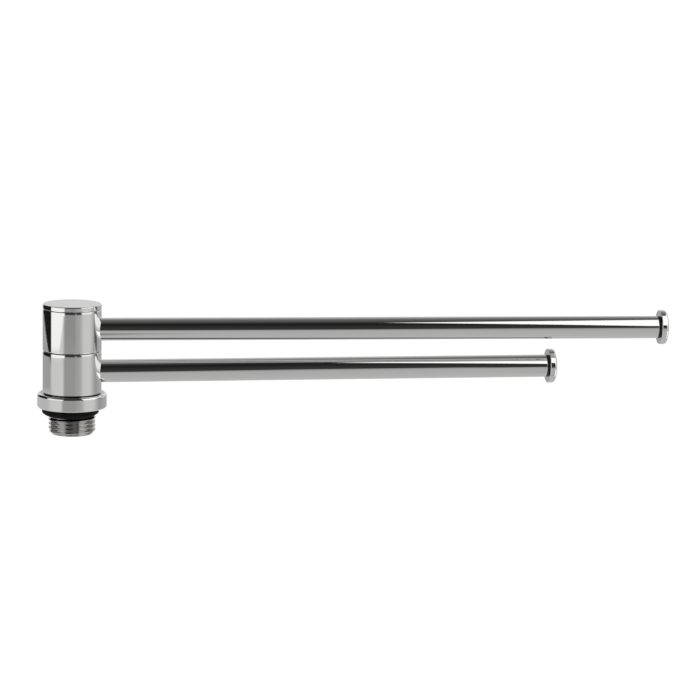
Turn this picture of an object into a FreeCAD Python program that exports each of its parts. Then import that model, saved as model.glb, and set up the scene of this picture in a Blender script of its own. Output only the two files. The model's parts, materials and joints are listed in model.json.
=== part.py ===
import FreeCAD, Part
import os

import Sketcher

# A two-arm swivelling towel rail that screws into the G 1/2 port of a towel warmer.
# The origin is the centre of the collar's underside, the face that seats on the port.
# +Z runs up the hub's axis and +X along the upper arm. All sizes are in millimetres.

SIZES = {
    # G 1/2 parallel pipe thread on the spigot (ISO 228)
    "thread_diameter": 20.955,
    "thread_pitch": 1.814,
    "thread_depth": 1.162,
    "thread_angle": 55.0,
    "crest_width": 0.302,
    "groove_overreach": 0.12,
    # spigot below the collar
    "spigot_length": 12.0,
    "spigot_lead": 1.7,
    "centre_mark_radius": 1.5,
    "relief_diameter": 18.4,
    "relief_length": 1.3,
    "neck_diameter": 20.4,
    "neck_length": 2.6,
    # collar
    "collar_diameter": 30.7,
    "collar_height": 6.45,
    "collar_chamfer": 0.5,
    "collar_rounding": 1.1,
    "seal_recess_diameter": 27.2,
    "seal_recess_depth": 0.3,
    # tapered rubber ring that seals the collar on the port; its rim lies a little to one side
    "seal_diameter": 25.2,
    "seal_offset": 0.7,
    "seal_side_drop": 2.4,
    "seal_foot_diameter": 21.6,
    "seal_foot_drop": 3.6,
    "seal_rounding": 0.9,
    "seal_play": 0.05,
    # spindle that carries both arms, screwed into the collar
    "spindle_diameter": 12.0,
    "foot_thread_diameter": 10.0,
    "foot_thread_length": 10.0,
    "cap_thread_diameter": 8.0,
    "cap_thread_length": 10.0,
    "thread_play": 0.1,
    "hole_spare_depth": 0.5,
    # barrels, with a washer in each seam
    "hub_diameter": 26.0,
    "barrel_height": 18.5,
    "edge_chamfer": 0.2,
    "washer_thickness": 0.3,
    "washer_inset": 0.6,
    "running_clearance": 0.05,
    "washer_clearance": 0.15,
    # flanged plastic bushes, two in each barrel
    "bush_wall": 1.2,
    "bush_length": 5.5,
    "bush_flange": 1.35,
    "bush_flange_thickness": 0.8,
    # friction stack in the top of the upper barrel, held down by the cap
    "stack_radius": 9.5,
    "stack_depth": 3.2,
    "stack_clearance": 0.3,
    "thrust_washer_thickness": 0.8,
    "spring_thickness": 0.7,
    "spring_cone_height": 0.55,
    "cap_gap": 0.15,
    "cap_thickness": 2.15,
    "cap_rounding": 0.5,
    # arms: round tube, brazed into a flat-bottomed socket in its barrel
    "arm_diameter": 10.2,
    "arm_wall": 1.0,
    "socket_floor": 9.5,
    "upper_reach": 268.8,
    "lower_reach": 219.3,
    "upper_rest_angle": 0.0,
    "lower_rest_angle": 2.0,
    # end button and the black plastic sleeve that holds it in the tube
    "button_diameter": 15.6,
    "button_thickness": 3.1,
    "button_rounding": 1.2,
    "button_inner_chamfer": 0.2,
    "button_stem_diameter": 5.0,
    "button_stem_length": 8.0,
    "sleeve_rim_width": 0.9,
    "sleeve_rim_inset": 0.1,
    "sleeve_length": 10.0,
}

# heights and distances that follow from the driving sizes
LOWER_BARREL_Z = "(sizes.collar_height + sizes.washer_thickness)"
MIDDLE_WASHER_Z = f"({LOWER_BARREL_Z} + sizes.barrel_height)"
UPPER_BARREL_Z = f"({MIDDLE_WASHER_Z} + sizes.washer_thickness)"
STACK_Z = f"({UPPER_BARREL_Z} + sizes.barrel_height - sizes.stack_depth)"
CAP_Z = f"({UPPER_BARREL_Z} + sizes.barrel_height + sizes.cap_gap)"

HUB_RADIUS = "sizes.hub_diameter / 2"
SPINDLE_RADIUS = "sizes.spindle_diameter / 2"
BUSH_RADIUS = "(sizes.spindle_diameter / 2 + sizes.running_clearance + sizes.bush_wall)"
FLANGE_RADIUS = f"({BUSH_RADIUS} + sizes.bush_flange)"
WASHER_BORE = "sizes.spindle_diameter / 2 + sizes.washer_clearance"
STACK_OUTER = "sizes.stack_radius - sizes.stack_clearance"

SAME_PLACE = 1e-3  # two lengths in millimetres closer than this are taken as one
ON_AXIS = 1e-9  # a coordinate smaller than this lies on its sketch's own axis

doc = FreeCAD.newDocument("towel_rail")
nodes = []


def write_sheet():
    """One row for each driving size: its name in column A, its value and alias in column B."""
    sheet = doc.addObject("Spreadsheet::Sheet", "sizes")
    for row, (name, value) in enumerate(SIZES.items(), start=1):
        sheet.set(f"A{row}", name)
        sheet.set(f"B{row}", str(value))
        sheet.setAlias(f"B{row}", name)
    doc.recompute()
    return sheet


sheet = write_sheet()


def number(expression):
    """The present value of an expression on the sheet."""
    return float(sheet.evalExpression(expression))


def new_body(label, height="0", angle="0"):
    """An empty body at a height on the hub's axis, turned about it by an angle in degrees."""
    body = doc.addObject("PartDesign::Body", label)
    body.setExpression("Placement.Base.z", height)
    body.setExpression("Placement.Rotation.Angle", f"({angle}) * 1 deg")
    nodes.append(body)
    return body


def new_sketch(body, name, role, offset=None):
    """A sketch on one of the body's own origin planes, moved off it by an expression."""
    sketch = body.newObject("Sketcher::SketchObject", name)
    plane = next(p for p in body.Origin.OriginFeatures if p.Role == role)
    sketch.AttachmentSupport = (plane, [""])
    sketch.MapMode = "FlatFace"
    if offset:
        sketch.setExpression("AttachmentOffset.Base.z", offset)
    return sketch


def place_point(sketch, line, across, up):
    """Hold the start of a line at a place given by two expressions."""
    for kind, axis, expression in (("DistanceX", -2, across), ("DistanceY", -1, up)):
        value = number(expression)
        if abs(value) < ON_AXIS:
            sketch.addConstraint(Sketcher.Constraint("PointOnObject", line, 1, axis))
            continue
        index = sketch.addConstraint(Sketcher.Constraint(kind, -1, 1, line, 1, value))
        name = f"{kind}_{line}"
        sketch.renameConstraint(index, name)
        sketch.setExpression(f"Constraints.{name}", expression)


def draw_outline(sketch, corners):
    """A closed outline of straight lines through corners given as pairs of expressions."""
    points = [FreeCAD.Vector(number(across), number(up), 0) for across, up in corners]
    count = len(points)
    for i in range(count):
        sketch.addGeometry(Part.LineSegment(points[i], points[(i + 1) % count]), False)
    for i in range(count):
        sketch.addConstraint(Sketcher.Constraint("Coincident", i, 2, (i + 1) % count, 1))
    for i, (across, up) in enumerate(corners):
        place_point(sketch, i, across, up)


def draw_circle(sketch, across, up, radius):
    """A circle whose centre and radius are expressions."""
    centre = FreeCAD.Vector(number(across), number(up), 0)
    circle = Part.Circle(centre, FreeCAD.Vector(0, 0, 1), number(radius))
    sketch.addGeometry(circle, False)
    sketch.addConstraint(Sketcher.Constraint("Radius", 0, number(radius)))
    sketch.renameConstraint(0, "radius")
    sketch.setExpression("Constraints.radius", radius)
    for kind, axis, expression in (("DistanceX", -2, across), ("DistanceY", -1, up)):
        value = number(expression)
        if abs(value) < ON_AXIS:
            sketch.addConstraint(Sketcher.Constraint("PointOnObject", 0, 3, axis))
            continue
        index = sketch.addConstraint(Sketcher.Constraint(kind, -1, 1, 0, 3, value))
        sketch.renameConstraint(index, kind)
        sketch.setExpression(f"Constraints.{kind}", expression)


def turn(body, sketch, axis):
    """Revolve a sketch a full turn about one of its own axes."""
    feature = body.newObject("PartDesign::Revolution", body.Label + "_turned")
    feature.Profile = sketch
    feature.ReferenceAxis = (sketch, [axis])
    feature.Angle = 360
    sketch.Visibility = False
    doc.recompute()
    return feature


def turned_about_z(label, corners, height="0"):
    """A body turned about the hub's axis; corners are (radius, height)."""
    body = new_body(label, height)
    sketch = new_sketch(body, label + "_outline", "XZ_Plane")
    draw_outline(sketch, corners)
    turn(body, sketch, "V_Axis")
    return body


def turned_about_x(label, corners, height, angle):
    """A body turned about an arm's axis; corners are (distance from the hub's axis, radius)."""
    body = new_body(label, height, angle)
    sketch = new_sketch(body, label + "_outline", "XZ_Plane")
    draw_outline(sketch, corners)
    turn(body, sketch, "H_Axis")
    return body


def cut_must_remove(body, before):
    """Stop if a cut left the body's volume as it was."""
    doc.recompute()
    if body.Shape.Volume >= before:
        raise RuntimeError(f"{body.Label}: a cut removed nothing")


def round_rim(body, rim, radius, farthest_only=False):
    """Fillet the circular edges that have the rim's radius, or only the farthest along the turning axis."""
    base = body.Tip
    found = [
        (edge.Curve.Center.x + edge.Curve.Center.z, f"Edge{i}")
        for i, edge in enumerate(base.Shape.Edges, start=1)
        if isinstance(edge.Curve, Part.Circle)
        and abs(edge.Curve.Radius - number(rim)) < SAME_PLACE
    ]
    picked = [max(found)[1]] if farthest_only else [name for _, name in found]
    fillet = body.newObject("PartDesign::Fillet", body.Label + "_rounded")
    fillet.Base = (base, picked)
    fillet.setExpression("Radius", radius)
    doc.recompute()


def ring(label, bore, outer, thickness, height):
    """A flat washer that lies on a given height."""
    corners = [(bore, "0"), (outer, "0"), (outer, thickness), (bore, thickness)]
    return turned_about_z(label, corners, height)


def make_threaded_base():
    """Collar and spigot in one piece, with the thread cut in the spigot. Its heights start at the tip."""
    tip_radius = "sizes.thread_diameter / 2 - sizes.spigot_lead"
    thread_top = "sizes.spigot_length - sizes.neck_length - sizes.relief_length"
    neck_bottom = "sizes.spigot_length - sizes.neck_length"
    recess_top = "sizes.spigot_length + sizes.seal_recess_depth"
    collar_top = "sizes.spigot_length + sizes.collar_height"
    collar_inner = "sizes.collar_diameter / 2 - sizes.collar_chamfer"
    hole_floor = f"{collar_top} - sizes.foot_thread_length - sizes.hole_spare_depth"
    corners = [
        ("0", "sizes.centre_mark_radius"),
        ("sizes.centre_mark_radius", "0"),
        (tip_radius, "0"),
        ("sizes.thread_diameter / 2", "sizes.spigot_lead"),
        ("sizes.thread_diameter / 2", thread_top),
        ("sizes.relief_diameter / 2", thread_top),
        ("sizes.relief_diameter / 2", neck_bottom),
        ("sizes.neck_diameter / 2", neck_bottom),
        ("sizes.neck_diameter / 2", recess_top),
        ("sizes.seal_recess_diameter / 2", recess_top),
        ("sizes.seal_recess_diameter / 2", "sizes.spigot_length"),
        (collar_inner, "sizes.spigot_length"),
        ("sizes.collar_diameter / 2", "sizes.spigot_length + sizes.collar_chamfer"),
        ("sizes.collar_diameter / 2", collar_top),
        ("sizes.foot_thread_diameter / 2", collar_top),
        ("sizes.foot_thread_diameter / 2", hole_floor),
        ("0", hole_floor),
    ]
    body = turned_about_z("threaded_base", corners, "-sizes.spigot_length")
    round_rim(body, "sizes.collar_diameter / 2", "sizes.collar_rounding", farthest_only=True)
    cut_thread(body)


def cut_thread(body):
    """Cut a right-hand thread groove from the tip up into the relief, from outside the crests."""
    sketch = new_sketch(body, "thread_groove", "XZ_Plane")
    root = "sizes.thread_diameter / 2 - sizes.thread_depth"
    outside = "sizes.thread_diameter / 2 + sizes.groove_overreach"
    half_root = "sizes.crest_width / 2"
    tool_depth = "(sizes.thread_depth + sizes.groove_overreach)"
    half_mouth = f"({half_root} + {tool_depth} * tan(sizes.thread_angle / 2 * 1 deg))"
    corners = [
        (root, f"-{half_root}"),
        (outside, f"-{half_mouth}"),
        (outside, half_mouth),
        (root, half_root),
    ]
    draw_outline(sketch, corners)
    before = body.Shape.Volume
    helix = body.newObject("PartDesign::SubtractiveHelix", "thread")
    helix.Profile = sketch
    helix.ReferenceAxis = (sketch, ["V_Axis"])
    helix.Mode = "pitch-height-angle"
    helix.setExpression("Pitch", "sizes.thread_pitch")
    helix.setExpression("Height", "sizes.spigot_length - sizes.neck_length - sizes.relief_length / 2")
    helix.LeftHanded = False
    sketch.Visibility = False
    cut_must_remove(body, before)


def make_port_seal():
    """Tapered rubber ring in the recess under the collar, bored to grip the neck and the relief."""
    body = new_body("port_seal")
    sketch = new_sketch(body, "port_seal_outline", "XZ_Plane")
    sketch.setExpression("AttachmentOffset.Base.x", "-sizes.seal_offset")
    corners = [
        ("0", "-sizes.seal_foot_drop"),
        ("sizes.seal_foot_diameter / 2", "-sizes.seal_foot_drop"),
        ("sizes.seal_diameter / 2", "-sizes.seal_side_drop"),
        ("sizes.seal_diameter / 2", "sizes.seal_recess_depth"),
        ("0", "sizes.seal_recess_depth"),
    ]
    draw_outline(sketch, corners)
    turn(body, sketch, "V_Axis")
    round_rim(body, "sizes.seal_diameter / 2", "sizes.seal_rounding")
    bore_seal(body)


def bore_seal(body):
    """Bore the seal about the hub's axis, in two steps that follow the neck and the relief under it."""
    neck = "sizes.neck_diameter / 2 + sizes.seal_play"
    relief = "sizes.relief_diameter / 2 + sizes.seal_play"
    step = "-(sizes.neck_length + sizes.seal_play)"
    corners = [
        ("0", "-sizes.seal_foot_drop"),
        (relief, "-sizes.seal_foot_drop"),
        (relief, step),
        (neck, step),
        (neck, "sizes.seal_recess_depth"),
        ("0", "sizes.seal_recess_depth"),
    ]
    sketch = new_sketch(body, "port_seal_bore", "XZ_Plane")
    draw_outline(sketch, corners)
    before = body.Shape.Volume
    bore = body.newObject("PartDesign::Groove", "port_seal_bored")
    bore.Profile = sketch
    bore.ReferenceAxis = (sketch, ["V_Axis"])
    bore.Angle = 360
    sketch.Visibility = False
    cut_must_remove(body, before)


def make_spindle():
    """Post with a threaded foot and a threaded hole for the cap. Its heights start at the foot."""
    foot = "sizes.foot_thread_diameter / 2 - sizes.thread_play"
    top = f"sizes.foot_thread_length + {CAP_Z} - sizes.collar_height"
    hole_floor = f"{top} - sizes.cap_thread_length - sizes.hole_spare_depth"
    corners = [
        ("0", "0"),
        (foot, "0"),
        (foot, "sizes.foot_thread_length"),
        (SPINDLE_RADIUS, "sizes.foot_thread_length"),
        (SPINDLE_RADIUS, top),
        ("sizes.cap_thread_diameter / 2", top),
        ("sizes.cap_thread_diameter / 2", hole_floor),
        ("0", hole_floor),
    ]
    turned_about_z("spindle", corners, "sizes.collar_height - sizes.foot_thread_length")


def make_cap():
    """Disc with a threaded stud that screws into the spindle. Its heights start at the stud's end."""
    stud = "sizes.cap_thread_diameter / 2 - sizes.thread_play"
    seat = "sizes.cap_thread_length"
    top = f"{seat} + sizes.cap_thickness"
    corners = [
        ("0", "0"),
        (stud, "0"),
        (stud, seat),
        (f"{HUB_RADIUS} - sizes.edge_chamfer", seat),
        (HUB_RADIUS, f"{seat} + sizes.edge_chamfer"),
        (HUB_RADIUS, top),
        ("0", top),
    ]
    body = turned_about_z("cap", corners, f"{CAP_Z} - sizes.cap_thread_length")
    round_rim(body, HUB_RADIUS, "sizes.cap_rounding", farthest_only=True)


def make_lower_barrel():
    """Barrel with a bush recess at each end. Its heights start at its lower face."""
    edge = f"{HUB_RADIUS} - sizes.edge_chamfer"
    top = "sizes.barrel_height"
    corners = [
        (FLANGE_RADIUS, "0"),
        (edge, "0"),
        (HUB_RADIUS, "sizes.edge_chamfer"),
        (HUB_RADIUS, f"{top} - sizes.edge_chamfer"),
        (edge, top),
        (FLANGE_RADIUS, top),
        (FLANGE_RADIUS, f"{top} - sizes.bush_flange_thickness"),
        (BUSH_RADIUS, f"{top} - sizes.bush_flange_thickness"),
        (BUSH_RADIUS, "sizes.bush_flange_thickness"),
        (FLANGE_RADIUS, "sizes.bush_flange_thickness"),
    ]
    body = turned_about_z("lower_barrel", corners, LOWER_BARREL_Z)
    body.setExpression("Placement.Rotation.Angle", "sizes.lower_rest_angle * 1 deg")
    cut_socket(body)


def make_upper_barrel():
    """Barrel whose top is bored out for the friction stack. Its heights start at its lower face."""
    edge = f"{HUB_RADIUS} - sizes.edge_chamfer"
    top = "sizes.barrel_height"
    floor = f"{top} - sizes.stack_depth"
    corners = [
        (FLANGE_RADIUS, "0"),
        (edge, "0"),
        (HUB_RADIUS, "sizes.edge_chamfer"),
        (HUB_RADIUS, f"{top} - sizes.edge_chamfer"),
        (edge, top),
        ("sizes.stack_radius", top),
        ("sizes.stack_radius", floor),
        (FLANGE_RADIUS, floor),
        (FLANGE_RADIUS, f"{floor} - sizes.bush_flange_thickness"),
        (BUSH_RADIUS, f"{floor} - sizes.bush_flange_thickness"),
        (BUSH_RADIUS, "sizes.bush_flange_thickness"),
        (FLANGE_RADIUS, "sizes.bush_flange_thickness"),
    ]
    body = turned_about_z("upper_barrel", corners, UPPER_BARREL_Z)
    cut_socket(body)


def cut_socket(body):
    """Bore the arm's flat-bottomed socket from outside, at the barrel's mid-height, on its +X side."""
    sketch = new_sketch(body, body.Label + "_socket", "YZ_Plane", "sizes.socket_floor")
    draw_circle(sketch, "0", "sizes.barrel_height / 2", "sizes.arm_diameter / 2")
    before = body.Shape.Volume
    pocket = body.newObject("PartDesign::Pocket", body.Label + "_socket_cut")
    pocket.Profile = sketch
    pocket.Type = "ThroughAll"
    pocket.Reversed = True
    sketch.Visibility = False
    cut_must_remove(body, before)


def make_bush(label, face, upwards, angle):
    """A flanged bush whose flange lies flush with a barrel's face and whose sleeve runs into the barrel."""
    bore = f"{SPINDLE_RADIUS} + sizes.running_clearance"
    corners = [
        (bore, "0"),
        (FLANGE_RADIUS, "0"),
        (FLANGE_RADIUS, "sizes.bush_flange_thickness"),
        (BUSH_RADIUS, "sizes.bush_flange_thickness"),
        (BUSH_RADIUS, "sizes.bush_length"),
        (bore, "sizes.bush_length"),
    ]
    if not upwards:
        corners = [(radius, f"sizes.bush_length - {up}") for radius, up in corners]
        face = f"{face} - sizes.bush_length"
    body = turned_about_z(label, corners, face)
    body.setExpression("Placement.Rotation.Angle", f"({angle}) * 1 deg")


def make_disc_spring():
    """Conical spring washer that presses the barrels down on their washers."""
    outer = STACK_OUTER
    rise = "sizes.spring_cone_height"
    thick = "sizes.spring_thickness"
    corners = [
        (WASHER_BORE, rise),
        (outer, "0"),
        (outer, thick),
        (WASHER_BORE, f"{rise} + {thick}"),
    ]
    turned_about_z("disc_spring", corners, f"{STACK_Z} + sizes.thrust_washer_thickness")


def make_washers():
    """Plastic washers in the two seams, and the steel and plastic washers of the friction stack."""
    outer = f"{HUB_RADIUS} - sizes.washer_inset"
    ring("collar_washer", WASHER_BORE, outer, "sizes.washer_thickness", "sizes.collar_height")
    ring("middle_washer", WASHER_BORE, outer, "sizes.washer_thickness", MIDDLE_WASHER_Z)
    ring("thrust_washer", WASHER_BORE, STACK_OUTER, "sizes.thrust_washer_thickness", STACK_Z)
    spring_z = f"{STACK_Z} + sizes.thrust_washer_thickness"
    spring_top = f"({spring_z} + sizes.spring_cone_height + sizes.spring_thickness)"
    ring("cap_washer", WASHER_BORE, STACK_OUTER, f"{CAP_Z} - {spring_top}", spring_top)


def make_arm(name, height, reach, angle):
    """Tube, end sleeve and end button of one arm, all turned about the arm's axis."""
    outer = "sizes.arm_diameter / 2"
    inner = "(sizes.arm_diameter / 2 - sizes.arm_wall)"
    stem = "sizes.button_stem_diameter / 2"
    rim = "sizes.arm_diameter / 2 - sizes.sleeve_rim_inset"
    button_face = f"{reach} - sizes.button_thickness"
    tube_end = f"{reach} - sizes.button_thickness - sizes.sleeve_rim_width"
    socket = "sizes.socket_floor"
    tube = [(socket, inner), (tube_end, inner), (tube_end, outer), (socket, outer)]
    turned_about_x(f"{name}_arm_tube", tube, height, angle)
    sleeve_start = f"{tube_end} - sizes.sleeve_length"
    sleeve = [
        (sleeve_start, stem),
        (button_face, stem),
        (button_face, rim),
        (tube_end, rim),
        (tube_end, inner),
        (sleeve_start, inner),
    ]
    turned_about_x(f"{name}_end_sleeve", sleeve, height, angle)
    stem_start = f"{button_face} - sizes.button_stem_length"
    button = [
        (stem_start, "0"),
        (reach, "0"),
        (reach, "sizes.button_diameter / 2"),
        (f"{button_face} + sizes.button_inner_chamfer", "sizes.button_diameter / 2"),
        (button_face, "sizes.button_diameter / 2 - sizes.button_inner_chamfer"),
        (button_face, stem),
        (stem_start, stem),
    ]
    body = turned_about_x(f"{name}_end_button", button, height, angle)
    round_rim(body, "sizes.button_diameter / 2", "sizes.button_rounding", farthest_only=True)


def make_arms():
    """Both arms, each at the mid-height of its barrel."""
    for name, barrel_z in (("lower", LOWER_BARREL_Z), ("upper", UPPER_BARREL_Z)):
        height = f"{barrel_z} + sizes.barrel_height / 2"
        make_arm(name, height, f"sizes.{name}_reach", f"sizes.{name}_rest_angle")


def make_bushes():
    """Two bushes in each barrel, one from each end."""
    lower_top = f"{LOWER_BARREL_Z} + sizes.barrel_height"
    faces = {
        "lower_barrel_bottom_bush": (LOWER_BARREL_Z, True, "sizes.lower_rest_angle"),
        "lower_barrel_top_bush": (lower_top, False, "sizes.lower_rest_angle"),
        "upper_barrel_bottom_bush": (UPPER_BARREL_Z, True, "sizes.upper_rest_angle"),
        "upper_barrel_top_bush": (STACK_Z, False, "sizes.upper_rest_angle"),
    }
    for label, (face, upwards, angle) in faces.items():
        make_bush(label, face, upwards, angle)


def check_and_export():
    """Stop on any failed object or bad shape, then write one STEP file for each node."""
    doc.recompute()
    for item in doc.Objects:
        if "Invalid" in item.State or "Error" in item.State:
            raise RuntimeError(f"{item.Name} failed: {item.State}")
    for body in nodes:
        shape = body.Shape
        if shape.isNull() or not shape.isValid() or len(shape.Solids) != 1:
            raise RuntimeError(f"{body.Label} has no single valid solid")
    os.makedirs("parts", exist_ok=True)
    for body in nodes:
        body.Shape.exportStep(f"parts/{body.Label}.step")
        print(f"{body.Label}: {body.Shape.Volume:.1f} mm3")


make_threaded_base()
make_port_seal()
make_spindle()
make_washers()
make_disc_spring()
make_cap()
make_lower_barrel()
make_upper_barrel()
make_bushes()
make_arms()
check_and_export()
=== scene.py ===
import json
import math
from collections import namedtuple

import bpy
from mathutils import Matrix, Vector


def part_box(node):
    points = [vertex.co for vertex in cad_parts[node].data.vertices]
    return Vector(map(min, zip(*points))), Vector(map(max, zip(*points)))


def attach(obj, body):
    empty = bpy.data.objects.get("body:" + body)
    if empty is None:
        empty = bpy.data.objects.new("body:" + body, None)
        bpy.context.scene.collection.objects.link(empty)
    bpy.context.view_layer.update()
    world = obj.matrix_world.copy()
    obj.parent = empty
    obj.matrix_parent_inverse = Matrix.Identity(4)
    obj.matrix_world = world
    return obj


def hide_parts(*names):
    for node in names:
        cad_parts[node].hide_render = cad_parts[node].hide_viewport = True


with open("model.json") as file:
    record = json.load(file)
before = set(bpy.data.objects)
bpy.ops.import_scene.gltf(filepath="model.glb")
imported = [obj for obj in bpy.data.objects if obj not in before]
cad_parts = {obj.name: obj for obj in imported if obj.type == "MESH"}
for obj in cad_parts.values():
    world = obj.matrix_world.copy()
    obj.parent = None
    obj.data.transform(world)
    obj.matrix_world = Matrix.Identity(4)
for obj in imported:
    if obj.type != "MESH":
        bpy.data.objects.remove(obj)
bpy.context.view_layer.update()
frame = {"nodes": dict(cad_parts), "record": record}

# A swivelling towel rail for a towel warmer: a polished hub on a threaded spigot carries two tube arms.
# All lengths are in metres. The pieces take their places from the boxes of the CAD nodes.

MM = 0.001

# sizes that the boxes of the CAD nodes don't give
THREAD_RADIUS = 20.955 / 2 * MM
THREAD_PITCH = 1.814 * MM
THREAD_DEPTH = 1.162 * MM
THREAD_HALF_ANGLE = math.radians(27.5)
THREAD_CREST_SHARE = 1 / 12
THREAD_SOFTNESS = 0.12
THREAD_RUN_OUT = THREAD_PITCH / 4
SPIGOT_LEAD = 1.7 * MM
CENTRE_MARK = 1.5 * MM
RELIEF_RADIUS = 9.2 * MM
RELIEF_LENGTH = 1.3 * MM
RELIEF_OVERLAP = 0.15 * THREAD_PITCH
NECK_RADIUS = 10.2 * MM
NECK_LENGTH = 2.6 * MM
RECESS_RADIUS = 13.6 * MM
RECESS_DEPTH = 0.3 * MM
SEAL_OFFSET = 0.7 * MM
SEAL_PLAY = 0.05 * MM
SEAL_SIDE_DROP = 2.4 * MM
SEAL_FOOT_RADIUS = 10.8 * MM
SEAL_ROUNDING = 0.9 * MM
SEAL_LIP_ROUNDING = 0.15 * MM
COLLAR_CHAMFER = 0.5 * MM
COLLAR_ROUNDING = 1.1 * MM
FOOT_HOLE_RADIUS = 5.0 * MM
FOOT_HOLE_DEPTH = 10.5 * MM
STUD_RADIUS = 3.9 * MM
STUD_LENGTH = 10.0 * MM
STUD_ROUNDING = 0.3 * MM
CAP_ROUNDING = 0.5 * MM
CAP_SEAM_ROUNDING = 0.2 * MM
BARREL_EDGE = 0.3 * MM
ROLL_OFF_ANGLE = math.radians(6.0)
ROLL_OFF_HEIGHT = 1.4 * MM
BUSH_RADIUS = 7.25 * MM
BUSH_FLANGE_RADIUS = 8.6 * MM
BUSH_FLANGE_THICKNESS = 0.8 * MM
STACK_RADIUS = 9.5 * MM
STACK_DEPTH = 3.2 * MM
WASHER_BORE = 6.15 * MM
WASHER_ROUNDING = 0.05 * MM
ARM_WALL = 1.0 * MM
ARM_START = 9.5 * MM
ARM_ROUNDING = 0.15 * MM
BUTTON_THICKNESS = 3.1 * MM
BUTTON_ROUNDING = 1.2 * MM
BUTTON_INNER_ROUNDING = 0.25 * MM
BUTTON_STEM_RADIUS = 2.5 * MM
BUTTON_STEM_LENGTH = 8.0 * MM
SLEEVE_LENGTH = 10.0 * MM
SLEEVE_RIM_WIDTH = 0.9 * MM
SLEEVE_RIM_RADIUS = 5.0 * MM
BROKEN_EDGE = 0.1 * MM
ARM_REACH = {"lower": 219.3 * MM, "upper": 268.8 * MM}
ARM_ANGLE = {"lower": math.radians(2.0), "upper": 0.0}

ROUNDING_STEPS = 6
HUB_SEGMENTS = 240
ARM_SEGMENTS = 128
THREAD_ROWS_PER_PITCH = 30
ON_AXIS = 1e-9

# the base's three materials, the third a near-black painted shade on the neck and relief under the seal, and
# the height just under the collar's seat where the spigot's begins
CHROME, PLATED, PAINTED_SHADE = range(3)
SPIGOT_TOP = -0.01 * MM


# ---------------------------------------------------------------- turned shapes

def right_of(direction):
    """The outward side of a line that runs counterclockwise round an outline."""
    return Vector((direction.y, -direction.x))


def rounded_outline(corners):
    """Points (radius and height, normal before, normal after) of an outline that runs counterclockwise.

    corners are (radius, height, rounding). Each rounding is an arc that meets its two sides smoothly.
    """
    points = []
    count = len(corners)
    for i, (radius, height, rounding) in enumerate(corners):
        here = Vector((radius, height))
        before = (here - Vector(corners[i - 1][:2])).normalized()
        after = (Vector(corners[(i + 1) % count][:2]) - here).normalized()
        if rounding == 0:
            points.append((here, right_of(before), right_of(after)))
            continue
        turn = math.atan2(before.x * after.y - before.y * after.x, before.dot(after))
        side = math.copysign(rounding, turn)
        centre = here - before * rounding * math.tan(abs(turn) / 2) - right_of(before) * side
        for k in range(ROUNDING_STEPS + 1):
            normal = Matrix.Rotation(turn * k / ROUNDING_STEPS, 2) @ right_of(before)
            points.append((centre + normal * side, normal, normal))
    return points


def turned_row(point, below, above, segments):
    """One ring of a turned shape: its points, and its normals towards the rows before and after it."""
    angles = [2 * math.pi * s / segments for s in range(segments)]
    around = angles if point.x > ON_AXIS else angles[:1]
    places = [Vector((point.x * math.cos(a), point.x * math.sin(a), point.y)) for a in around]
    sides = [[Vector((n.x * math.cos(a), n.x * math.sin(a), n.y)) for a in angles] for n in (below, above)]
    return places, sides[0], sides[1]


def skin(name, rows, segments, place=Matrix(), closed=True):
    """One smooth mesh over rows of points, with the rows' own normals at every corner."""
    vertices, first = [], []
    for places, _, _ in rows:
        first.append(len(vertices))
        vertices += [place @ p for p in places]
    spin = place.to_3x3()
    faces, normals = [], []
    for i in range(len(rows) if closed else len(rows) - 1):
        j = (i + 1) % len(rows)
        if len(rows[i][0]) == 1 and len(rows[j][0]) == 1:
            continue
        for s in range(segments):
            t = (s + 1) % segments
            corners = [(i, s, rows[i][2]), (i, t, rows[i][2]), (j, t, rows[j][1]), (j, s, rows[j][1])]
            if len(rows[i][0]) == 1:
                corners = [corners[0], corners[2], corners[3]]
            elif len(rows[j][0]) == 1:
                corners = [corners[0], corners[1], corners[3]]
            faces.append([first[k] + a % len(rows[k][0]) for k, a, _ in corners])
            normals += [spin @ side[a] for _, a, side in corners]
    mesh = bpy.data.meshes.new(name)
    mesh.from_pydata(vertices, [], faces)
    mesh.shade_smooth()
    mesh.normals_split_custom_set(normals)
    made = bpy.data.objects.new(name, mesh)
    bpy.context.scene.collection.objects.link(made)
    return made


def hub_piece(name, corners):
    """A shape turned about the hub's axis; corners are (radius, height, rounding)."""
    rows = [turned_row(*point, HUB_SEGMENTS) for point in rounded_outline(corners)]
    return skin(name, rows, HUB_SEGMENTS)


def arm_piece(name, corners, arm):
    """A shape turned about an arm's axis; corners are (radius, distance from the hub's axis, rounding)."""
    out = Vector((math.cos(ARM_ANGLE[arm]), math.sin(ARM_ANGLE[arm]), 0))
    up = Vector((0, 0, 1))
    turned = Matrix((up.cross(out), up, out)).transposed().to_4x4()
    rows = [turned_row(*point, ARM_SEGMENTS) for point in rounded_outline(corners)]
    return skin(name, rows, ARM_SEGMENTS, Matrix.Translation((0, 0, arm_height(arm))) @ turned)


def arm_height(arm):
    low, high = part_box(f"{arm}_barrel")
    return (low[2] + high[2]) / 2


# ---------------------------------------------------------------- threaded base

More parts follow.
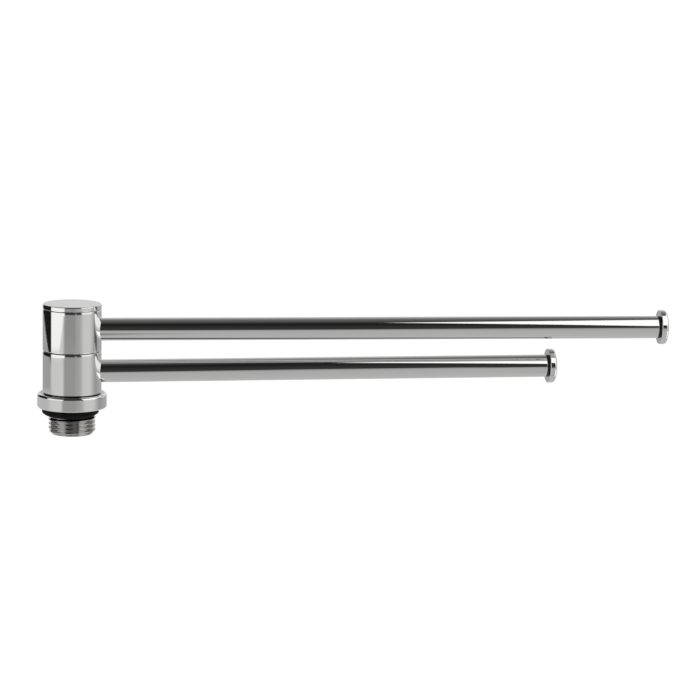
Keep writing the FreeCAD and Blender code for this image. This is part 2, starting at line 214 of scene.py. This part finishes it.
def thread_radius(angle, height, tip):
    """Radius of the thread at an angle and a height.

    Its crests and roots are soft, its start is chamfered and it runs out into the relief.
    """
    phase = (height / THREAD_PITCH - angle / (2 * math.pi)) % 1.0
    from_crest = abs(phase - 0.5) * THREAD_PITCH
    drop = (from_crest - THREAD_PITCH * THREAD_CREST_SHARE) / math.tan(THREAD_HALF_ANGLE)
    softness = THREAD_SOFTNESS * THREAD_DEPTH
    drop = (drop + math.hypot(drop, softness)) / 2
    spare = THREAD_DEPTH - drop
    radius = THREAD_RADIUS - THREAD_DEPTH + (spare + math.hypot(spare, softness)) / 2
    radius = min(radius, THREAD_RADIUS - SPIGOT_LEAD + height - tip)
    run_out = min((-NECK_LENGTH - RELIEF_LENGTH - height) / THREAD_RUN_OUT, 1.0)
    return RELIEF_RADIUS + (radius - RELIEF_RADIUS) * max(run_out, 0.0)


def thread_row(height, tip, segments):
    """One ring of the thread, with normals from the slopes of its surface."""
    turn = 2 * math.pi / segments
    rise = THREAD_PITCH / THREAD_ROWS_PER_PITCH
    places, normals = [], []
    for s in range(segments):
        angle = s * turn
        out = Vector((math.cos(angle), math.sin(angle), 0))
        radius = thread_radius(angle, height, tip)
        ahead, behind = (thread_radius(angle + side * turn, height, tip) for side in (1, -1))
        above, below = (thread_radius(angle, height + side * rise, tip) for side in (1, -1))
        around = Vector((-out.y, out.x, 0)) * (ahead - behind) / (2 * turn * radius)
        normal = out - around - Vector((0, 0, (above - below) / (2 * rise)))
        places.append(out * radius + Vector((0, 0, height)))
        normals.append(normal.normalized())
    return places, normals, normals


def threaded_base():
    """Collar and spigot in one closed mesh. Its outline goes up from the tip and round to the foot hole."""
    low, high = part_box("threaded_base")
    tip, top, collar = low[2], high[2], high[0]
    thread_top = -NECK_LENGTH - RELIEF_LENGTH
    corners = [
        (0.0, tip + CENTRE_MARK, 0),
        (CENTRE_MARK, tip, 0),
        (THREAD_RADIUS - SPIGOT_LEAD, tip, BROKEN_EDGE),
        (RELIEF_RADIUS, thread_top, 0),
        (RELIEF_RADIUS, -NECK_LENGTH, BROKEN_EDGE),
        (NECK_RADIUS, -NECK_LENGTH, BROKEN_EDGE),
        (NECK_RADIUS, RECESS_DEPTH, 0),
        (RECESS_RADIUS, RECESS_DEPTH, 0),
        (RECESS_RADIUS, 0.0, BROKEN_EDGE),
        (collar - COLLAR_CHAMFER, 0.0, BROKEN_EDGE),
        (collar, COLLAR_CHAMFER, BROKEN_EDGE),
        (collar, top, COLLAR_ROUNDING),
        (FOOT_HOLE_RADIUS, top, BROKEN_EDGE),
        (FOOT_HOLE_RADIUS, top - FOOT_HOLE_DEPTH, 0),
        (0.0, top - FOOT_HOLE_DEPTH, 0),
    ]
    rows = []
    threaded = False
    for point, below, above in rounded_outline(corners):
        if not threaded and point.y > tip + SPIGOT_LEAD:
            threaded = True
            start = rows[-1][0][0].z
            count = round((thread_top - start) / THREAD_PITCH * THREAD_ROWS_PER_PITCH)
            heights = [start + (thread_top - start) * k / count for k in range(1, count)]
            rows += [thread_row(height, tip, HUB_SEGMENTS) for height in heights]
        rows.append(turned_row(point, below, above, HUB_SEGMENTS))
    return skin("base_body", rows, HUB_SEGMENTS, closed=False)


# ---------------------------------------------------------------- materials

class Graph:
    """A short way to write nodes."""

    def __init__(self, tree):
        self.tree = tree

    def add(self, kind, *inputs, **values):
        """A node, with its inputs in their order, each a socket or a plain value."""
        node = self.tree.nodes.new(kind)
        for name, value in values.items():
            setattr(node, name, value)
        for socket, value in zip(node.inputs, inputs):
            if isinstance(value, bpy.types.NodeSocket):
                self.link(value, socket)
            else:
                socket.default_value = value
        return node

    def link(self, source, socket):
        self.tree.links.new(source, socket)


class Nodes(Graph):
    """The nodes of one material."""

    def __init__(self, name):
        self.material = bpy.data.materials.new(name)
        self.material.use_nodes = True
        super().__init__(self.material.node_tree)
        self.shader = self.tree.nodes["Principled BSDF"]
        self.place = self.add("ShaderNodeTexCoord").outputs["Object"]

    def noise(self, scale, detail=4.0, stretch=(1, 1, 1)):
        """A noise over the piece; scale is in cycles for each metre."""
        mapping = self.add("ShaderNodeMapping")
        mapping.inputs["Scale"].default_value = [scale * s for s in stretch]
        self.link(self.place, mapping.inputs["Vector"])
        node = self.add("ShaderNodeTexNoise")
        node.inputs["Scale"].default_value = 1.0
        node.inputs["Detail"].default_value = detail
        self.link(mapping.outputs["Vector"], node.inputs["Vector"])
        return node.outputs["Fac"]

    def spread(self, source, low, high, start=0.3, end=0.7):
        """A value that runs from low to high as the source runs from start to end."""
        node = self.add("ShaderNodeMapRange", interpolation_type="SMOOTHSTEP")
        for name, value in (("From Min", start), ("From Max", end), ("To Min", low), ("To Max", high)):
            node.inputs[name].default_value = value
        self.link(source, node.inputs["Value"])
        return node.outputs["Result"]

    def blend(self, factor, first, second):
        """A colour that runs from first to second."""
        node = self.add("ShaderNodeMix", data_type="RGBA")
        node.inputs["A"].default_value = (*first, 1)
        node.inputs["B"].default_value = (*second, 1)
        self.link(factor, node.inputs["Factor"])
        return node.outputs["Result"]

    def bump(self, height, strength, distance):
        node = self.add("ShaderNodeBump")
        node.inputs["Strength"].default_value = strength
        node.inputs["Distance"].default_value = distance
        self.link(height, node.inputs["Height"])
        self.link(node.outputs["Normal"], self.shader.inputs["Normal"])


def chrome(name, light, dark, smooth, smeared, scratch_depth):
    """Polished plating: a faint tint change, wiped smears in its gloss, and hairline scratches."""
    nodes = Nodes(name)
    nodes.shader.inputs["Metallic"].default_value = 1.0
    nodes.link(nodes.blend(nodes.noise(60), dark, light), nodes.shader.inputs["Base Color"])
    smears = nodes.noise(90, detail=6, stretch=(0.3, 1, 1))
    nodes.link(nodes.spread(smears, smooth, smeared, 0.45, 0.8), nodes.shader.inputs["Roughness"])
    nodes.bump(nodes.noise(900, detail=8, stretch=(0.15, 1, 1)), 0.15, scratch_depth)
    return nodes.material


def machined(name, light, dark, roughness, depth):
    """Turned metal with fine tool marks and dull patches."""
    nodes = Nodes(name)
    nodes.shader.inputs["Metallic"].default_value = 1.0
    nodes.link(nodes.blend(nodes.noise(400), dark, light), nodes.shader.inputs["Base Color"])
    patches = nodes.spread(nodes.noise(250), roughness * 0.8, roughness * 1.3)
    nodes.link(patches, nodes.shader.inputs["Roughness"])
    nodes.bump(nodes.noise(2500, stretch=(0.2, 0.2, 1)), 0.3, depth)
    return nodes.material


def moulded(name, light, dark, roughness, grain, depth, shine):
    """Plastic or rubber with a fine skin, dull patches and a slight change of colour."""
    nodes = Nodes(name)
    nodes.link(nodes.blend(nodes.noise(180), dark, light), nodes.shader.inputs["Base Color"])
    patches = nodes.spread(nodes.noise(300), roughness * 0.85, roughness * 1.2)
    nodes.link(patches, nodes.shader.inputs["Roughness"])
    nodes.shader.inputs["Specular IOR Level"].default_value = shine
    nodes.bump(nodes.noise(grain, detail=6), 0.4, depth)
    return nodes.material


def grey(level):
    return level, level, level


# For each slot: the light and the dark tint, then the roughness and the depth of the skin's texture.
FINISHES = {
    "polished_chrome": chrome("polished_chrome", (0.80, 0.80, 0.79), (0.77, 0.77, 0.765), 0.02, 0.07, 2e-6),
    "turned_steel": machined("turned_steel", (0.64, 0.64, 0.63), (0.55, 0.55, 0.54), 0.25, 5e-6),
    "spring_steel": machined("spring_steel", (0.36, 0.35, 0.34), (0.26, 0.26, 0.27), 0.35, 4e-6),
    "black_rubber": moulded("black_rubber", grey(0.006), grey(0.003), 0.75, 4000, 2e-5, 0.12),
    "black_acetal": moulded("black_acetal", grey(0.024), grey(0.015), 0.4, 5000, 1e-5, 0.3),
    "white_acetal": moulded("white_acetal", (0.84, 0.83, 0.80), (0.78, 0.77, 0.74), 0.45, 3000, 1e-5, 0.5),
}
# The base has the chrome's slot, and these two are on its spigot; the second is painted shade.
SPIGOT_FINISH = machined("plated_spigot", (0.52, 0.51, 0.49), (0.40, 0.395, 0.38), 0.08, 1e-7)
# painted shade: a near-black tint that stands for the shadow the seal casts on the neck and relief
RELIEF_SHADE_MATERIAL = machined("relief_painted_shade", (0.10, 0.095, 0.09), (0.06, 0.058, 0.055), 0.4, 1e-6)


# ---------------------------------------------------------------- pieces

def finish(piece, body, finish_slot, *nodes):
    """Ride on a body, stand for CAD nodes and take a slot's finish."""
    piece.data.materials.append(FINISHES[finish_slot])
    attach(piece, body)
    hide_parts(*nodes)
    return piece


def base_finish(place):
    """The collar is chrome, the thread and the foot hole are plated, and the neck and relief get a
    near-black painted shade for the shadow under the seal.
    """
    if place.z > SPIGOT_TOP:
        return CHROME if place.xy.length > RECESS_RADIUS else PLATED
    # the neck and relief take the painted shade
    return PAINTED_SHADE if place.z > -NECK_LENGTH - RELIEF_LENGTH - RELIEF_OVERLAP else PLATED


def make_base():
    base = finish(threaded_base(), "base", "polished_chrome", "threaded_base")
    base.data.materials.append(SPIGOT_FINISH)
    # the third material is painted shade for the neck and relief under the seal
    base.data.materials.append(RELIEF_SHADE_MATERIAL)
    for face in base.data.polygons:
        face.material_index = base_finish(face.center)


def make_seal():
    """Tapered rubber ring: its bore grips the neck and relief, and its outside lies a little to one side."""
    low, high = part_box("port_seal")
    neck = NECK_RADIUS + SEAL_PLAY
    relief = RELIEF_RADIUS + SEAL_PLAY
    step = -NECK_LENGTH - SEAL_PLAY
    rim = high[1]
    corners = [
        (relief, low[2], SEAL_LIP_ROUNDING),
        (SEAL_FOOT_RADIUS, low[2], 2 * SEAL_LIP_ROUNDING),
        (rim, -SEAL_SIDE_DROP, SEAL_ROUNDING),
        (rim, high[2], SEAL_ROUNDING),
        (neck, high[2], 0),
        (neck, step, 0),
        (relief, step, 0),
    ]
    aside = Vector((-SEAL_OFFSET, 0, 0))
    rows = []
    for point, below, above in rounded_outline(corners):
        places, below, above = turned_row(point, below, above, HUB_SEGMENTS)
        if point.x > neck + SEAL_LIP_ROUNDING:
            places = [place + aside for place in places]
        rows.append((places, below, above))
    finish(skin("seal_ring", rows, HUB_SEGMENTS), "base", "black_rubber", "port_seal")


def make_seam_washer(node):
    low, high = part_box(node)
    corners = [
        (WASHER_BORE, low[2], WASHER_ROUNDING),
        (high[0], low[2], WASHER_ROUNDING),
        (high[0], high[2], WASHER_ROUNDING),
        (WASHER_BORE, high[2], WASHER_ROUNDING),
    ]
    finish(hub_piece(node + "_ring", corners), "base", "black_acetal", node)


def make_cap():
    low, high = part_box("cap")
    seat = low[2] + STUD_LENGTH
    corners = [
        (0.0, low[2], 0),
        (STUD_RADIUS, low[2], STUD_ROUNDING),
        (STUD_RADIUS, seat, 0),
        (high[0], seat, CAP_SEAM_ROUNDING),
        (high[0], high[2], CAP_ROUNDING),
        (0.0, high[2], 0),
    ]
    finish(hub_piece("cap_disc", corners), "base", "polished_chrome", "cap")


def make_barrel(arm):
    """A barrel with its bush recesses, and polished off a little towards its top edge.

    The upper one is bored out for the friction stack.
    """
    low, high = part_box(f"{arm}_barrel")
    bottom, top, outer = low[2], high[2], high[0]
    start = ROLL_OFF_HEIGHT / 2
    narrowed = outer - start * math.tan(ROLL_OFF_ANGLE)
    bend = start / math.tan(ROLL_OFF_ANGLE / 2)
    floor = top if arm == "lower" else top - STACK_DEPTH
    stack = [] if arm == "lower" else [(STACK_RADIUS, top, BROKEN_EDGE), (STACK_RADIUS, floor, 0)]
    corners = [
        (BUSH_FLANGE_RADIUS, bottom, BROKEN_EDGE),
        (outer, bottom, BARREL_EDGE),
        (outer, top - start - BARREL_EDGE, bend),
        (narrowed, top, BARREL_EDGE),
        *stack,
        (BUSH_FLANGE_RADIUS, floor, 0),
        (BUSH_FLANGE_RADIUS, floor - BUSH_FLANGE_THICKNESS, 0),
        (BUSH_RADIUS, floor - BUSH_FLANGE_THICKNESS, 0),
        (BUSH_RADIUS, bottom + BUSH_FLANGE_THICKNESS, 0),
        (BUSH_FLANGE_RADIUS, bottom + BUSH_FLANGE_THICKNESS, 0),
    ]
    finish(hub_piece(f"{arm}_hub_barrel", corners), f"{arm}_arm", "polished_chrome", f"{arm}_barrel")


def half_height(node):
    low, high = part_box(node)
    return (high[2] - low[2]) / 2


def make_tube(arm, inner, outer, end):
    corners = [(inner, end, 0), (outer, end, ARM_ROUNDING), (outer, ARM_START, 0), (inner, ARM_START, 0)]
    finish(arm_piece(f"{arm}_tube", corners, arm), f"{arm}_arm", "polished_chrome", f"{arm}_arm_tube")


def make_sleeve(arm, inner, end, face):
    """The sleeve plugs the tube, holds the button's stem and shows a rim between the two."""
    start = end - SLEEVE_LENGTH
    corners = [
        (inner, start, 0),
        (inner, end, 0),
        (SLEEVE_RIM_RADIUS, end, BROKEN_EDGE),
        (SLEEVE_RIM_RADIUS, face, BROKEN_EDGE),
        (BUTTON_STEM_RADIUS, face, 0),
        (BUTTON_STEM_RADIUS, start, 0),
    ]
    finish(arm_piece(f"{arm}_rim", corners, arm), f"{arm}_arm", "black_acetal", f"{arm}_end_sleeve")


def make_button(arm, face):
    radius = half_height(f"{arm}_end_button")
    corners = [
        (0.0, face - BUTTON_STEM_LENGTH, 0),
        (BUTTON_STEM_RADIUS, face - BUTTON_STEM_LENGTH, STUD_ROUNDING),
        (BUTTON_STEM_RADIUS, face, 0),
        (radius, face, BUTTON_INNER_ROUNDING),
        (radius, ARM_REACH[arm], BUTTON_ROUNDING),
        (0.0, ARM_REACH[arm], 0),
    ]
    finish(arm_piece(f"{arm}_button", corners, arm), f"{arm}_arm", "polished_chrome", f"{arm}_end_button")


def make_arm(arm):
    """Tube, end sleeve and end button of one arm."""
    outer = half_height(f"{arm}_arm_tube")
    inner = outer - ARM_WALL
    face = ARM_REACH[arm] - BUTTON_THICKNESS
    end = face - SLEEVE_RIM_WIDTH
    make_tube(arm, inner, outer, end)
    make_sleeve(arm, inner, end, face)
    make_button(arm, face)


def finish_hidden_nodes():
    """The parts inside the hub keep their CAD shape and take their slot's finish."""
    slots = {part["node"]: part["material_slot"] for part in frame["record"]["subparts"]}
    for node, made in frame["nodes"].items():
        made.data.materials.clear()
        made.data.materials.append(FINISHES[slots[node]])


finish_hidden_nodes()
make_base()
make_seal()
for washer in ("collar_washer", "middle_washer"):
    make_seam_washer(washer)
make_cap()
for arm_name in ("lower", "upper"):
    make_barrel(arm_name)
    make_arm(arm_name)


# ---------------------------------------------------------------- studio

# Lightness of the room by pitch: 0 is level to the front, 90 straight up, 180 level to the back, and -90
# is down to the table.
ROOM_LIGHT = [
    (-180, 0.72), (-172, 0.72), (-164, 0.60), (-130, 0.58), (-90, 0.54), (-16, 0.49), (-9, 0.42),
    (-2, 0.045), (20, 0.035), (50, 0.014), (62, 0.025), (74, 0.07), (90, 0.12), (102, 0.15),
    (114, 0.22), (127, 0.36), (140, 0.52), (152, 0.72), (165, 0.82), (172, 0.70), (180, 0.68),
]
# Lightness of a ring just under the horizon by turn: 0 is to the front, 90 to the right, -90 to the left.
RING_LIGHT = [
    (-180, 0.41), (-100, 0.40), (-88, 0.70), (-40, 0.72), (-31, 0.37), (6, 0.365),
    (14, 0.41), (24, 0.44), (32, 0.50), (42, 0.68), (66, 0.70), (76, 0.66),
    (86, 0.52), (100, 0.38), (110, 0.38), (125, 0.44), (180, 0.47),
]
RING_BOTTOM, RING_TOP, RING_SOFTNESS = -12.2, -5.5, 1.2

# The table's front edge stands higher towards the right: the slope, start and limit of its rise in degrees
# against the sideways part of the direction, and where the raised stretch ends.
EDGE_SLOPE, EDGE_START, EDGE_LIMIT = 80.0, -10.4, 5.0
EDGE_END, EDGE_END_SOFTNESS = 0.248, 0.008

# Panels round the object. Left and right are turns, bottom and top are rises, all in degrees, and each pair
# has its own softness. A side with a lean goes over by so many degrees of turn for each degree of rise, near
# the middle given below.
Panel = namedtuple(
    "Panel",
    "left right softness bottom top rim_softness light left_lean right_lean",
    defaults=(0, 0),
)
PANELS = [
    # a bright window to the left and a bright wall to the right
    Panel(-91, -42, 3, -9.45, 30, 0.15, 1.12, right_lean=26),
    Panel(36, 80, 4, -5, 30, 2, 1.0),
    # the darker front wall, just over the table
    Panel(-29, 10, 3, -9.3, -6, 0.3, 0.33),
    # dark uprights at the far right and the far left
    Panel(93, 111, 4, -9.45, 40, 0.15, 0.12),
    Panel(-132, -93, 1, -9.6, 40, 0.15, 0.012, left_lean=-55),
    # the pale left end of the table
    Panel(-160, -85, 12, -40, -10.2, 0.1, 0.58),
    # dark and bright stripes low down, which the thread mirrors
    Panel(-46, 4, 3, -72, -35, 3, 0.05),
    Panel(29, 42, 2, -60, -35, 2, 0.05),
    Panel(-82, -47, 2, -60, -15, 2, 1.6),
    Panel(43, 80, 2, -60, -15, 2, 1.6),
]
LEAN_MIDDLE, LEAN_LOW, LEAN_HIGH = -9.0, -0.6, 0.4

SOFTBOX_CORNERS = [
    (0.400, -0.546, 0.243),
    (0.786, -0.172, 0.005),
    (0.598, 0.306, 0.485),
    (0.228, -0.262, 0.581),
]
SOFTBOX_LIGHT = 1.25

FLOOR_HALF_WIDTH = 30.0
FLOOR_HEIGHT = -0.35
FLOOR_GLOW = 0.8

CAMERA_AZIMUTH = math.radians(7.87)
CAMERA_ELEVATION = math.radians(9.35)
CAMERA_ROLL = math.radians(1.01)
CAMERA_DISTANCE = 1.3
CAMERA_TARGET = Vector((124.2, 0.0, 24.9)) * MM
CAMERA_SENSOR = 36.0
CAMERA_LENS = 149.02
CAMERA_CLIP_END = 100.0

WHITE = (1, 1, 1, 1)
BLACK = (0, 0, 0, 1)


class LightGraph(Graph):
    """The nodes of a world whose light depends on direction only."""

    def __init__(self, tree):
        super().__init__(tree)
        tree.nodes.clear()
        direction = self.add("ShaderNodeTexCoord").outputs["Generated"]
        self.x, y, z = self.add("ShaderNodeSeparateXYZ", direction).outputs
        to_front = self.math("MULTIPLY", y, -1.0)
        self.pitch = self.math("DEGREES", self.math("ARCTAN2", z, to_front))
        self.turn = self.math("DEGREES", self.math("ARCTAN2", self.x, to_front))
        self.rise = self.math("DEGREES", self.math("ARCSINE", z))

    def math(self, operation, *inputs):
        return self.add("ShaderNodeMath", *inputs, operation=operation).outputs[0]

    def clamped(self, value, low, high):
        return self.math("MINIMUM", self.math("MAXIMUM", value, low), high)

    def edge(self, value, place, soft):
        """0 below a place and 1 above it."""
        limits = (place - soft, place + soft, 0.0, 1.0)
        return self.add("ShaderNodeMapRange", value, *limits, interpolation_type="SMOOTHSTEP").outputs[0]

    def window(self, value, low, high, soft):
        """1 between two places and 0 outside them."""
        past_high = self.edge(value, high, soft)
        return self.math("MULTIPLY", self.edge(value, low, soft), self.math("SUBTRACT", 1.0, past_high))

    def ramp(self, angle, stops):
        """A light that follows an angle between -180 and 180 degrees."""
        node = self.add("ShaderNodeValToRGB", self.math("MULTIPLY_ADD", angle, 1 / 360, 0.5))
        while len(node.color_ramp.elements) < len(stops):
            node.color_ramp.elements.new(0.5)
        for element, (degrees, value) in zip(node.color_ramp.elements, stops):
            element.position = degrees / 360 + 0.5
            element.color = (value, value, value, 1)
        return node.outputs["Color"]

    def lay(self, mask, under, over):
        """One light over another where the mask is 1."""
        mixed = self.add("ShaderNodeMix", data_type="RGBA")
        self.link(mask, mixed.inputs["Factor"])
        self.link(under, mixed.inputs["A"])
        if isinstance(over, bpy.types.NodeSocket):
            self.link(over, mixed.inputs["B"])
        else:
            mixed.inputs["B"].default_value = over
        return mixed.outputs["Result"]


def room_light(graph):
    """Bright behind, a grey table below, and dark in front above the table's edge."""
    raised = graph.clamped(graph.math("MULTIPLY_ADD", graph.x, EDGE_SLOPE, EDGE_START), 0.0, EDGE_LIMIT)
    raised = graph.math("MULTIPLY", raised, graph.window(graph.x, -1, EDGE_END, EDGE_END_SOFTNESS))
    return graph.ramp(graph.math("SUBTRACT", graph.pitch, raised), ROOM_LIGHT)


def panel_mask(graph, panel):
    """1 on a panel and 0 beside it."""
    near = graph.clamped(graph.math("SUBTRACT", graph.rise, LEAN_MIDDLE), LEAN_LOW, LEAN_HIGH)
    from_left = graph.math("MULTIPLY_ADD", near, -panel.left_lean, graph.turn)
    from_right = graph.math("MULTIPLY_ADD", near, -panel.right_lean, graph.turn)
    past_right = graph.edge(from_right, panel.right, panel.softness)
    inside = graph.math("SUBTRACT", 1.0, past_right)
    across = graph.math("MULTIPLY", graph.edge(from_left, panel.left, panel.softness), inside)
    upright = graph.window(graph.rise, panel.bottom, panel.top, panel.rim_softness)
    return graph.math("MULTIPLY", across, upright)


def studio_world():
    """A studio that shows in reflections only; the camera itself sees plain white behind the object."""
    world = bpy.data.worlds.new("studio")
    world.use_nodes = True
    bpy.context.scene.world = world
    graph = LightGraph(world.node_tree)
    ring = graph.window(graph.rise, RING_BOTTOM, RING_TOP, RING_SOFTNESS)
    light = graph.lay(ring, room_light(graph), graph.ramp(graph.turn, RING_LIGHT))
    for panel in PANELS:
        light = graph.lay(panel_mask(graph, panel), light, (*grey(panel.light), 1))
    seen_directly = graph.add("ShaderNodeLightPath").outputs["Is Camera Ray"]
    shine = graph.add("ShaderNodeBackground", graph.lay(seen_directly, light, WHITE))
    output = graph.add("ShaderNodeOutputWorld")
    graph.link(shine.outputs[0], output.inputs["Surface"])


def studio_face(name, corners, material):
    """A flat face that belongs to the studio."""
    mesh = bpy.data.meshes.new(name)
    mesh.from_pydata(corners, [], [tuple(range(len(corners)))])
    mesh.materials.append(material)
    made = bpy.data.objects.new(name, mesh)
    bpy.context.scene.collection.objects.link(made)
    return made


def make_softbox():
    """A flat panel of light beside the arms, seen only in reflections."""
    nodes = Nodes("right_softbox_light")
    nodes.shader.inputs["Base Color"].default_value = BLACK
    nodes.shader.inputs["Emission Color"].default_value = WHITE
    nodes.shader.inputs["Emission Strength"].default_value = SOFTBOX_LIGHT
    softbox = studio_face("right_softbox", SOFTBOX_CORNERS, nodes.material)
    softbox.visible_camera = False
    softbox.visible_shadow = False


def make_floor():
    nodes = Nodes("pale_floor")
    nodes.link(nodes.blend(nodes.noise(3), grey(0.90), grey(0.93)), nodes.shader.inputs["Base Color"])
    nodes.shader.inputs["Roughness"].default_value = 0.9
    nodes.shader.inputs["Emission Color"].default_value = WHITE
    nodes.shader.inputs["Emission Strength"].default_value = FLOOR_GLOW
    half = FLOOR_HALF_WIDTH
    corners = [(x, y, FLOOR_HEIGHT) for x, y in ((-half, -half), (half, -half), (half, half), (-half, half))]
    floor = studio_face("floor", corners, nodes.material)
    floor.visible_glossy = False


def make_camera():
    level = math.cos(CAMERA_ELEVATION)
    ahead = (math.sin(CAMERA_AZIMUTH) * level, math.cos(CAMERA_AZIMUTH) * level, -math.sin(CAMERA_ELEVATION))
    forward = Vector(ahead)
    right = Vector((math.cos(CAMERA_AZIMUTH), -math.sin(CAMERA_AZIMUTH), 0))
    up = right.cross(forward)
    rolled_right = right * math.cos(CAMERA_ROLL) + up * math.sin(CAMERA_ROLL)
    rolled_up = up * math.cos(CAMERA_ROLL) - right * math.sin(CAMERA_ROLL)
    data = bpy.data.cameras.new("camera")
    data.sensor_width = CAMERA_SENSOR
    data.lens = CAMERA_LENS
    data.clip_end = CAMERA_CLIP_END
    camera = bpy.data.objects.new("camera", data)
    turned = Matrix((rolled_right, rolled_up, -forward)).transposed().to_4x4()
    camera.matrix_world = Matrix.Translation(CAMERA_TARGET - forward * CAMERA_DISTANCE) @ turned
    bpy.context.scene.collection.objects.link(camera)
    bpy.context.scene.camera = camera


studio_world()
make_softbox()
make_floor()
make_camera()
bpy.context.scene.view_settings.view_transform = "Standard"
